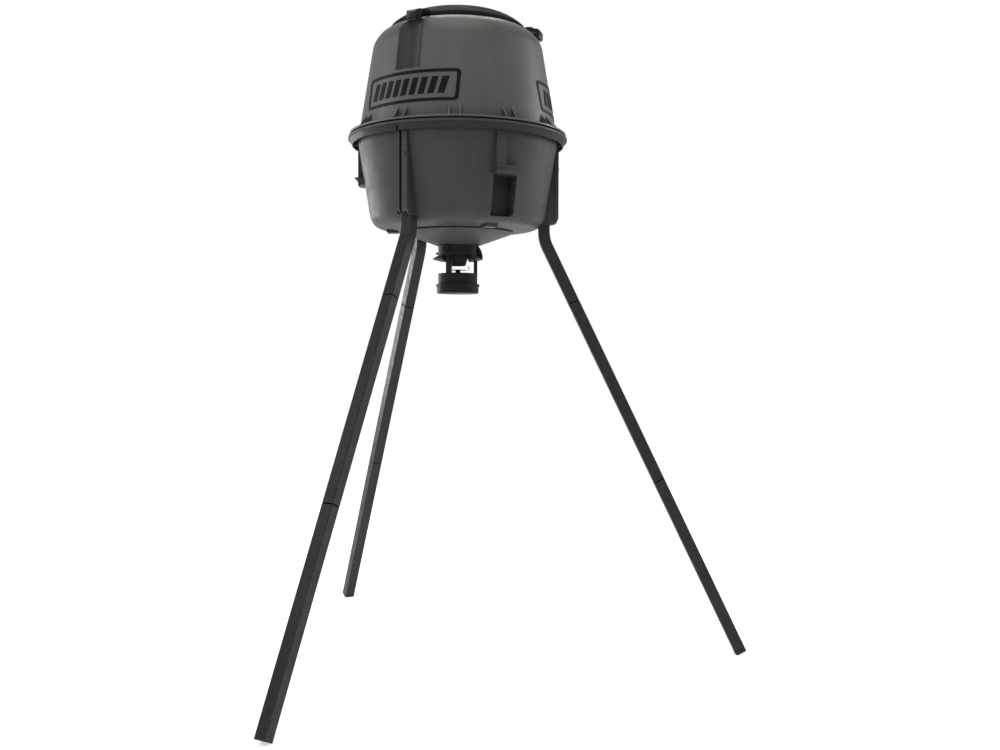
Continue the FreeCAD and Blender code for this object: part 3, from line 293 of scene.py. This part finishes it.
def metal(name, colour, roughness, grain=(900.0, 900.0, 900.0), spangle=0.0, tarnish=0.25):
    """Bare or plated metal: fine scratches along one axis, tarnish, and optional spangle."""
    finish = Finish(name, Metallic=1.0)
    brushed = finish.noise(1.0, 3.0, finish.stretched(grain))
    tone = finish.shade(colour, finish.varied(1.0 - tarnish, 1.05, 90.0, 5.0))
    rough = finish.span(brushed, *NOISE_REACH, roughness - 0.08, roughness + 0.10)
    if spangle:
        flakes = finish.cells(230.0, "Color")
        flake = finish.add("ShaderNodeSeparateColor", {"Color": flakes}).outputs["Red"]
        tone = finish.shade(tone, finish.span(flake, 0.0, 1.0, 1.0 - spangle, 1.0))
        rough = finish.plus(rough, finish.span(flake, 0.0, 1.0, -0.08, 0.12))
    # Painted shade: darker colour in hollows.
    tone = finish.shade(tone, finish.span(finish.painted_corner_shade(0.004), 0.4, 1.0, 0.45, 1.0))
    finish.soften(0.0003)
    finish.bump(brushed, 0.00004, 0.6)
    return finish.done(tone, rough)


def rubber(name, colour, bloomed=0.35, specular=0.25):
    """Matt rubber with a paler bloom in patches."""
    finish = Finish(name, Specular_IOR_Level=specular)
    bloom = finish.span(finish.noise(140.0, 5.0), 0.4, 0.75, 0.0, bloomed)
    tone = finish.mix(bloom, colour, tuple(part * 2.5 + 0.01 for part in colour))
    finish.soften(0.0005)
    finish.bump(finish.noise(1500.0, 2.0), 0.00008, 0.6)
    return finish.done(tone, finish.varied(0.70, 0.88, 300.0, 3.0))


def painted_relief(name):
    """Black paint rolled over the raised badge, thinner where it has rubbed."""
    finish = Finish(name, Specular_IOR_Level=0.12)
    worn = finish.span(finish.noise(160.0, 6.0), 0.66, 0.78, 0.0, 0.35)
    tone = finish.mix(worn, BADGE_BLACK, UPPER_GREY)
    finish.soften(0.0006)
    finish.bump(finish.noise(700.0, 3.0), 0.0001, 0.5)
    return finish.done(tone, finish.varied(0.42, 0.6, 90.0, 3.0))


def clear_lens(name):
    """Clear plastic with hairline scratches."""
    finish = Finish(name, Transmission_Weight=1.0, IOR=1.49)
    hairlines = finish.noise(1.0, 2.0, finish.stretched((90.0, 2600.0, 90.0)))
    finish.bump(hairlines, 0.00001, 0.4)
    return finish.done((0.90, 0.94, 0.93), finish.varied(0.02, 0.10, 220.0, 3.0))


def liquid_crystal(name):
    """Grey-green face of an unlit display."""
    finish = Finish(name)
    drift = finish.varied(0.92, 1.05, 60.0, 3.0)
    return finish.done(finish.shade((0.26, 0.31, 0.22), drift), finish.varied(0.3, 0.4, 500.0))


def solder_mask(name):
    """Green solder mask with copper runs showing through it."""
    finish = Finish(name, Specular_IOR_Level=0.6)
    runs = finish.add("ShaderNodeTexBrick", {"Vector": finish.place, "Scale": 160.0, "Mortar Size": 0.045})
    track = finish.span(runs.outputs["Fac"], 0.3, 0.7)
    tone = finish.mix(track, (0.012, 0.085, 0.032), (0.030, 0.170, 0.060))
    cloud = finish.varied(0.85, 1.1, 120.0, 3.0)
    finish.bump(track, 0.00004, 0.6)
    return finish.done(finish.shade(tone, cloud), finish.varied(0.28, 0.42, 300.0))


def gloss_wrap(name, colour):
    """Glossy printed film or ink, as on a dry cell or a display's digits."""
    finish = Finish(name, Specular_IOR_Level=0.5, Coat_Weight=0.3, Coat_Roughness=0.15)
    drift = finish.varied(0.9, 1.08, 180.0, 3.0)
    finish.bump(finish.noise(420.0, 2.0), 0.00006, 0.5)
    return finish.done(finish.shade(colour, drift), finish.varied(0.25, 0.38, 90.0))


FINISHES = {
    "upper_hopper_plastic": moulded("upper_hopper_plastic_look", UPPER_GREY, 0.44, crease=0.11, specular=0.42,
                                    local_shade=painted_recess_shade),
    "lower_hopper_plastic": moulded("lower_hopper_plastic_look", LOWER_GREY, 0.52, crease=0.06, specular=0.18,
                                    local_shade=painted_skirt_shade),
    "lid_plastic": moulded("lid_plastic_look", LID_GREY, 0.75, dust=0.05, specular=0.02),
    "latch_plastic": moulded("latch_plastic_look", LATCH_GREY, 0.44, crease=0.006, edge_wear_and_highlight=0.35),
    "kit_plastic": moulded("kit_plastic_look", KIT_BLACK, 0.46, grain=900.0, relief=0.00012, dust=0.2,
                           crease=0.006, edge_wear_and_highlight=0.15, specular=0.06),
    "panel_plastic": moulded("panel_plastic_look", PANEL_GREY, 0.42, grain=1200.0, relief=0.0001, dust=0.1,
                             crease=0.004, edge_wear_and_highlight=0.3),
    "plug_plastic": moulded("plug_plastic_look", PLUG_BLACK, 0.55, crease=0.006, edge_wear_and_highlight=0.6),
    "badge_paint": painted_relief("badge_paint_look"),
    "leg_paint": powder_coat("leg_paint_look"),
    "screw_steel": metal("screw_steel_look", BLACK_ZINC, 0.40),
    "spinner_sheet": metal("spinner_sheet_look", GALVANISED, 0.30, (500.0, 60.0, 500.0), 0.28, 0.15),
    "motor_steel": metal("motor_steel_look", STEEL, 0.30, (400.0, 400.0, 4000.0)),
    "shaft_steel": metal("shaft_steel_look", BRIGHT_STEEL, 0.18, (300.0, 300.0, 6000.0), 0.0, 0.1),
    "contact_metal": metal("contact_metal_look", NICKEL, 0.25, (2000.0, 300.0, 2000.0)),
    "seal_rubber": rubber("seal_rubber_look", RUBBER_BLACK),
    "button_rubber": rubber("button_rubber_look", BUTTON_GREY),
    "lens": clear_lens("lens_look"),
    "display_module": liquid_crystal("display_module_look"),
    "board": solder_mask("board_look"),
    "cell_wrap": gloss_wrap("cell_wrap_look", (0.012, 0.012, 0.013)),
}
CELL_BAND = gloss_wrap("cell_band_look", (0.46, 0.17, 0.035))
SEGMENT = gloss_wrap("display_segment_look", (0.010, 0.013, 0.010))
CHIP = moulded("chip_epoxy_look", (0.012, 0.012, 0.013), 0.5, grain=2500.0, relief=0.00003, dust=0.0,
               crease=0.001, edge_wear_and_highlight=0.1)
# Near-black matt material for the bands that stand in for shadow in grooves and gaps: painted shade.
PAINTED_SHADE_BLACK = rubber("painted_shade_black_look", (0.0015, 0.0015, 0.0015), 0.05, 0.04)
ICON = gloss_wrap("panel_icon_look", (0.55, 0.56, 0.57))


def dress_nodes():
    """Gives every node of the model the finish of its material slot."""
    slots = {row["node"]: row["material_slot"] for row in frame["record"]["subparts"]}
    for name, node in nodes.items():
        finish = FINISHES[slots[name]]
        if not node.material_slots:
            node.data.materials.append(finish)
        for place in node.material_slots:
            place.material = finish


# ---- mesh building ------------------------------------------------------------------
SMOOTH_ANGLE = 0.6    # edges sharper than this, in radians, stay sharp in the shading


def piece(name, mesh_maker, body, finishes):
    """One mesh object in the model's frame, riding on a body."""
    mesh = bpy.data.meshes.new(name)
    form = bmesh.new()
    mesh_maker(form)
    bmesh.ops.recalc_face_normals(form, faces=form.faces)
    form.to_mesh(mesh)
    form.free()
    for finish in finishes:
        mesh.materials.append(finish)
    for face in mesh.polygons:
        face.use_smooth = True
    mesh.set_sharp_from_angle(angle=SMOOTH_ANGLE)
    thing = bpy.data.objects.new(name, mesh)
    bpy.context.scene.collection.objects.link(thing)
    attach(thing, body)
    return thing


def lathe(form, profile, steps, place, finishes=()):
    """Turns a profile of (radius, along) about its axis.

    place maps (across, up, along) to the frame; finishes gives each step of the profile its
    material's number.
    """
    rings = []
    for radius, along in profile:
        ring = []
        for step in range(steps):
            angle = FULL_TURN * step / steps
            ring.append(form.verts.new(place(radius * math.cos(angle), radius * math.sin(angle), along)))
        rings.append(ring)
    for index, (low, high) in enumerate(zip(rings, rings[1:])):
        for step in range(steps):
            after = (step + 1) % steps
            face = form.faces.new((low[step], low[after], high[after], high[step]))
            face.material_index = finishes[index] if finishes else 0
    for index, ring in ((0, rings[0]), (-1, rings[-1])):
        face = form.faces.new(ring)
        face.material_index = finishes[index] if finishes else 0


def soft_box(form, low, high, rounding, finish=0):
    """Box between two corners with rounded edges."""
    low, high = Vector(low), Vector(high)
    made = bmesh.ops.create_cube(form, size=1.0)
    centre, size = (low + high) / 2, high - low
    for vertex in made["verts"]:
        vertex.co = Vector(centre[axis] + vertex.co[axis] * size[axis] for axis in range(3))
    faces = {face for vertex in made["verts"] for face in vertex.link_faces}
    for face in faces:
        face.material_index = finish
    edges = {edge for vertex in made["verts"] for edge in vertex.link_edges}
    bmesh.ops.bevel(form, geom=list(edges), offset=rounding, segments=3, profile=0.7, affect="EDGES",
                    material=finish)


# ---- timer and cells ----------------------------------------------------------------
DIGIT_SEGMENTS = {"1": "bc", "2": "abged", "0": "abcdef", "3": "abgcd"}
CLOCK_DIGITS = "1230"
DIGIT_PLACES = (-2.0, -0.85, 0.85, 2.0)    # in steps of 0.86 of a digit's width
INK_DEPTH, INK_ROUND = 0.00012, 0.00005


def display_digits():
    """Clock digits on the display's lower face, read from below."""
    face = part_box("display")[0].z
    glass_low, glass_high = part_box("display_lens")
    centre = (glass_low + glass_high) / 2
    width, height = (glass_high.x - glass_low.x) * 0.17, (glass_high.y - glass_low.y) * 0.52
    line = width * 0.20
    half_w, half_h = width / 2 - line / 2, height / 2 - line / 2
    # each segment's place in the digit, and whether it lies level
    bars = {"a": (0, half_h, 1), "g": (0, 0, 1), "d": (0, -half_h, 1), "f": (-half_w, half_h / 2, 0),
            "b": (half_w, half_h / 2, 0), "e": (-half_w, -half_h / 2, 0), "c": (half_w, -half_h / 2, 0)}

    def ink(form, x, y, reach_x, reach_y):
        soft_box(form, (x - reach_x, y - reach_y, face - INK_DEPTH), (x + reach_x, y + reach_y, face),
                 INK_ROUND)

    def make(form):
        for place, digit in zip(DIGIT_PLACES, CLOCK_DIGITS):
            middle = centre.x + place * width * 0.86
            for bar in DIGIT_SEGMENTS[digit]:
                x, y, level = bars[bar]
                reach_x = width / 2 - line if level else line / 2
                reach_y = line / 2 if level else height / 4 - line * 0.45
                ink(form, middle + x, centre.y - y, reach_x, reach_y)
        for y in (-height / 5, height / 5):
            ink(form, centre.x, centre.y + y, line / 2, line / 2)

    piece("display_digits", make, "feeder_kit", [SEGMENT])


ICON_GAP = 0.0022      # from a button's edge to the middle of its mark
ICON_PROUD = 0.00015
ICON_PROFILE = [(0.0010, 0.0), (0.0012, 0.00005), (0.0012, 0.0002)]
ICON_SIDES = (3, 24, 3)    # triangle, ring, triangle
ICON_TURNS = (0.0, 0.0, math.pi)


def panel_icons():
    """Raised arrow and ring marks beside the panel's buttons."""
    panel_low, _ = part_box("control_panel")

    def make(form):
        for number, (sides, turn) in enumerate(zip(ICON_SIDES, ICON_TURNS), start=1):
            low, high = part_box(f"button_{number}")
            centre = (low + high) / 2
            middle = centre.y + (high.y - low.y) / 2 + ICON_GAP
            cos, sin = math.cos(turn), math.sin(turn)

            def place(a, b, c, x=centre.x, y=middle, cos=cos, sin=sin):
                return (x + a * cos - b * sin, y + a * sin + b * cos, panel_low.z - ICON_PROUD + c)

            lathe(form, ICON_PROFILE, sides, place)

    piece("panel_icons", make, "feeder_kit", [ICON])


CELL_LENGTH = 0.049
CELL_RADIUS = CELL_LENGTH * 0.148
CELL_FINISHES = [FINISHES["contact_metal"], FINISHES["cell_wrap"], CELL_BAND]
CONTACT, WRAP, BAND = range(3)
# (radius, along) from the flat end to the nub, and then the finish of each step between them
CELL_PROFILE = [
    (CELL_RADIUS * 0.55, 0.0), (CELL_RADIUS * 0.93, 0.0), (CELL_RADIUS, 0.0004),
    (CELL_RADIUS, 0.0010), (CELL_RADIUS, CELL_LENGTH * 0.66), (CELL_RADIUS, CELL_LENGTH * 0.68),
    (CELL_RADIUS, CELL_LENGTH - 0.0022), (CELL_RADIUS * 0.96, CELL_LENGTH - 0.0015),
    (CELL_RADIUS * 0.80, CELL_LENGTH - 0.0013), (CELL_RADIUS * 0.44, CELL_LENGTH - 0.0013),
    (CELL_RADIUS * 0.38, CELL_LENGTH - 0.0011), (CELL_RADIUS * 0.36, CELL_LENGTH - 0.0002),
    (CELL_RADIUS * 0.30, CELL_LENGTH)]
CELL_STEPS = [CONTACT, CONTACT, WRAP, WRAP, BAND, BAND, WRAP, WRAP] + [CONTACT] * 4


def dry_cells():
    """Four AA cells along X, in place of the plain cylinders."""
    low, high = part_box("battery_cells")
    start = (low.x + high.x) / 2 - CELL_LENGTH / 2
    places = [(side, level) for side in (0, 1) for level in (0, 1)]
    for number, (side, level) in enumerate(places, start=1):
        y = high.y - CELL_RADIUS if side else low.y + CELL_RADIUS
        z = high.z - CELL_RADIUS if level else low.z + CELL_RADIUS
        turned = (side + level) % 2

        def place(a, b, c, y=y, z=z, turned=turned):
            return (start + (CELL_LENGTH - c if turned else c), y + a, z + b)

        def make(form, place=place):
            lathe(form, CELL_PROFILE, 40, place, CELL_STEPS)

        cell = piece(f"dry_cell_{number}", make, "feeder_kit", CELL_FINISHES)
        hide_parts("battery_cells")


CHIP_HALF, CHIP_HEIGHT, CHIP_ROUND = (0.004, 0.003), 0.0013, 0.0002
PIN_COUNT, PIN_START, PIN_PITCH = 5, 0.0032, 0.0016
PIN_OUT, PIN_HALF, PIN_HEIGHT = 0.0037, (0.0003, 0.0007), 0.0005
SMALL_PARTS, SMALL_HALF, SMALL_HEIGHT = 14, (0.0009, 0.0005), 0.0006
SOLDER_ROUND = 0.0001


def board_parts():
    """Two chips with pins and a scatter of small parts on the timer board's upper face."""
    low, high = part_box("circuit_board")
    top = high.z
    draw = random.Random(7)
    middle = (low + high) / 2

    def part(form, x, y, half, height, rounding, finish):
        soft_box(form, (x - half[0], y - half[1], top), (x + half[0], y + half[1], top + height),
                 rounding, finish)

    def make(form):
        for offset in (-0.012, 0.010):
            part(form, middle.x + offset, middle.y, CHIP_HALF, CHIP_HEIGHT, CHIP_ROUND, 0)
            for side in (-1, 1):
                for pin in range(PIN_COUNT):
                    x = middle.x + offset - PIN_START + pin * PIN_PITCH
                    part(form, x, middle.y + side * PIN_OUT, PIN_HALF, PIN_HEIGHT, SOLDER_ROUND, 1)
        for _ in range(SMALL_PARTS):
            x = middle.x + draw.uniform(-0.5, 0.5) * (high.x - low.x) * 0.8
            y = middle.y + draw.choice((-1, 1)) * (high.y - low.y) * draw.uniform(0.28, 0.40)
            part(form, x, y, SMALL_HALF, SMALL_HEIGHT, SOLDER_ROUND, 1)

    piece("board_parts", make, "feeder_kit", [CHIP, FINISHES["contact_metal"]])


# ---- hopper and leg details ---------------------------------------------------------
def ring_band(form, radius, z_low, z_high, thickness, steps=180):
    """Thin closed ring, square in section."""
    corners = [(radius - thickness, z_low), (radius, z_low), (radius, z_high), (radius - thickness, z_high)]
    rings = []
    for step in range(steps):
        angle = FULL_TURN * step / steps
        rings.append([form.verts.new((r * math.cos(angle), r * math.sin(angle), z)) for r, z in corners])
    for index, ring in enumerate(rings):
        after = rings[(index + 1) % steps]
        for corner in range(4):
            nxt = (corner + 1) % 4
            form.faces.new((ring[corner], ring[nxt], after[nxt], after[corner]))


GROOVE_DEPTH, GROOVE_HEIGHT = 0.0058, 0.0043
# Size of the black painted-shadow band in the groove.
RIM_SHADOW_THICKNESS, RIM_SHADOW_GAP = 0.0008, 0.0002


def rim_shadow_band():
    """Black band at the bottom of the groove between the two flanges, a painted shadow in the groove."""
    upper_low, upper_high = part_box("upper_hopper")
    radius, joint = upper_high.x - GROOVE_DEPTH + RIM_SHADOW_THICKNESS, upper_low.z

    def make(form):
        ring_band(form, radius, joint - GROOVE_HEIGHT, joint - RIM_SHADOW_GAP, RIM_SHADOW_THICKNESS)

    piece("rim_shadow_band", make, "hopper", [PAINTED_SHADE_BLACK])


# Size and place of the black painted-shadow band at the funnel's edge.
FUNNEL_SHADOW_THICKNESS, FUNNEL_SHADOW_OUT, FUNNEL_SHADOW_UP = 0.0016, 0.0012, 0.0001


def funnel_shadow_line():
    """Black band round the edge of the funnel's flange, a painted shadow of the gap there."""
    _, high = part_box("funnel")

    def make(form):
        ring_band(form, high.x + FUNNEL_SHADOW_OUT, high.z - FUNNEL_SHADOW_THICKNESS, high.z + FUNNEL_SHADOW_UP, FUNNEL_SHADOW_THICKNESS)

    piece("funnel_shadow_line", make, "hopper", [PAINTED_SHADE_BLACK])


LEG_SPLAY = math.radians(25.8)
LEG_AZIMUTHS = {1: 0.0, 2: FULL_TURN / 3, 3: -FULL_TURN / 3}
# A black ring fills the groove between a tube's end and the shoulder of the tube below it, as painted shadow.
RING_HALF, RING_START_HALF, RING_ROUND = 0.01530, 0.01390, 0.0019
RING_LENGTH, RING_GAP = 0.0036, 0.0001
END_DEPTH = 0.0003    # points this close to the tube's end belong to its end face


def rounded_square(half, rounding, steps=4):
    """Corner points of a square outline with rounded corners."""
    points = []
    for corner, (a, b) in enumerate(((1, 1), (-1, 1), (-1, -1), (1, -1))):
        for step in range(steps + 1):
            angle = FULL_TURN / 4 * (corner + step / steps)
            points.append((a * (half - rounding) + rounding * math.cos(angle),
                           b * (half - rounding) + rounding * math.sin(angle)))
    return points


def joint_shadow_ring(form, tube, azimuth):
    """Black ring in the groove under one tube's low end, a painted shadow of the groove."""
    out = Vector((math.cos(azimuth), math.sin(azimuth), 0.0))
    along = out * math.sin(LEG_SPLAY) - Vector((0, 0, math.cos(LEG_SPLAY)))
    side = Vector((-math.sin(azimuth), math.cos(azimuth), 0.0))
    front = along.cross(side)
    points = [tube.matrix_world @ vertex.co for vertex in tube.data.vertices]
    reach = max(point.dot(along) for point in points)
    face = [point for point in points if point.dot(along) > reach - END_DEPTH]
    centre = sum(face, Vector()) / len(face)
    section = ((RING_START_HALF, RING_GAP), (RING_HALF, RING_GAP), (RING_HALF, RING_LENGTH))
    loops = []
    for half, depth in section:
        loops.append([form.verts.new(centre + along * depth + side * a + front * b)
                      for a, b in rounded_square(half, RING_ROUND)])
    for index, loop in enumerate(loops):
        after = loops[(index + 1) % len(loops)]
        for corner in range(len(loop)):
            nxt = (corner + 1) % len(loop)
            form.faces.new((loop[corner], loop[nxt], after[nxt], after[corner]))


def leg_joint_shadow_rings():
    """A black painted-shadow ring at both joints of each leg."""
    def make(form):
        for number, azimuth in LEG_AZIMUTHS.items():
            for part in ("upper", "middle"):
                joint_shadow_ring(form, nodes[f"leg_{number}_{part}"], azimuth)

    piece("leg_joint_shadow_rings", make, "hopper", [PAINTED_SHADE_BLACK])


# ---- studio -------------------------------------------------------------------------
CAMERA_PLACE = Vector((0.1003, -3.0545, 0.8792))
CAMERA_AZIMUTH, CAMERA_PITCH, CAMERA_ROLL = 89.64, -1.64, 0.16
CAMERA_LENS, SENSOR_WIDTH = 38.99, 36.0
FLOOR_SIZE = 60.0
FLOOR_WHITE, FLOOR_ROUGHNESS = (0.90, 0.90, 0.90), 0.75
# The floor's own glow rises from near to far, to meet the white background.
FLOOR_NEAR, FLOOR_FAR = 2.0, 5.0
FLOOR_GLOW, FAR_FLOOR_GLOW = 0.54, 0.74
AMBIENT = 0.38
LIGHT_TARGET = (0, 0, 1.4)
# place, diameter in metres, power in watts
LIGHTS = {
    "key": ((-3.6, 0.1, 2.3), 1.2, 31),
    "top": ((0.0, -1.3, 4.2), 2.8, 36),
    "side": ((3.3, 1.1, 2.2), 1.3, 46),
    "back": ((-2.4, 2.0, 1.2), 1.3, 35),
    "fill": ((-1.9, -3.0, 1.7), 1.6, 13),
    "rim": ((0.0, 2.0, 4.2), 1.4, 30),
}


def add_camera():
    """Camera at the photograph's place, solved from the rim's ellipse and points on the legs."""
    azimuth, pitch, roll = (math.radians(angle) for angle in (CAMERA_AZIMUTH, CAMERA_PITCH, CAMERA_ROLL))
    reach = math.cos(pitch)
    ahead = Vector((math.cos(azimuth) * reach, math.sin(azimuth) * reach, math.sin(pitch)))
    level = ahead.cross(Vector((0, 0, 1))).normalized()
    upright = level.cross(ahead)
    right = level * math.cos(roll) + upright * math.sin(roll)
    up = upright * math.cos(roll) - level * math.sin(roll)
    data = bpy.data.cameras.new("camera")
    data.lens = CAMERA_LENS
    data.sensor_width = SENSOR_WIDTH
    camera = bpy.data.objects.new("camera", data)
    bpy.context.scene.collection.objects.link(camera)
    turn = Matrix((right, up, -ahead)).transposed()
    camera.matrix_world = Matrix.Translation(CAMERA_PLACE) @ turn.to_4x4()
    bpy.context.scene.camera = camera


def add_light(name, place, size, power):
    """Round lamp that faces the hopper."""
    data = bpy.data.lights.new(name, "AREA")
    data.shape = "DISK"
    data.size = size
    data.energy = power
    light = bpy.data.objects.new(name, data)
    light.location = place
    light.rotation_euler = (Vector(LIGHT_TARGET) - Vector(place)).to_track_quat("-Z", "Y").to_euler()
    bpy.context.scene.collection.objects.link(light)


def add_world():
    """White behind the object, and a softer grey light from all round."""
    world = bpy.data.worlds.new("studio")
    world.use_nodes = True
    tree = world.node_tree
    lamp = tree.nodes["Background"]
    seen = tree.nodes.new("ShaderNodeLightPath").outputs["Is Camera Ray"]
    level = tree.nodes.new("ShaderNodeMapRange")
    level.inputs["To Min"].default_value = AMBIENT
    level.inputs["To Max"].default_value = 1.0
    tree.links.new(seen, level.inputs["Value"])
    tree.links.new(level.outputs["Result"], lamp.inputs["Strength"])
    lamp.inputs["Color"].default_value = (1, 1, 1, 1)
    bpy.context.scene.world = world


def add_studio():
    """Pale floor, world and lights."""
    finish = Finish("floor_look", Emission_Strength=1.0)
    away = finish.add("ShaderNodeVectorMath", {0: finish.place}, operation="LENGTH").outputs["Value"]
    glow = finish.span(away, FLOOR_NEAR, FLOOR_FAR, FLOOR_GLOW, FAR_FLOOR_GLOW)
    finish.feed(finish.shader.inputs["Emission Color"], finish.shade((1, 1, 1), glow))
    cloud = finish.varied(0.985, 1.0, 1.2, 2.0)
    pale = finish.done(finish.shade(FLOOR_WHITE, cloud), FLOOR_ROUGHNESS)
    bpy.ops.mesh.primitive_plane_add(size=FLOOR_SIZE)
    floor = bpy.context.object
    floor.name = "floor"
    floor.data.materials.append(pale)
    add_world()
    bpy.context.scene.view_settings.view_transform = "Standard"
    for name, (place, size, power) in LIGHTS.items():
        add_light(name, place, size, power)


dress_nodes()
display_digits()
panel_icons()
dry_cells()
board_parts()
rim_shadow_band()
funnel_shadow_line()
leg_joint_shadow_rings()
add_camera()
add_studio()
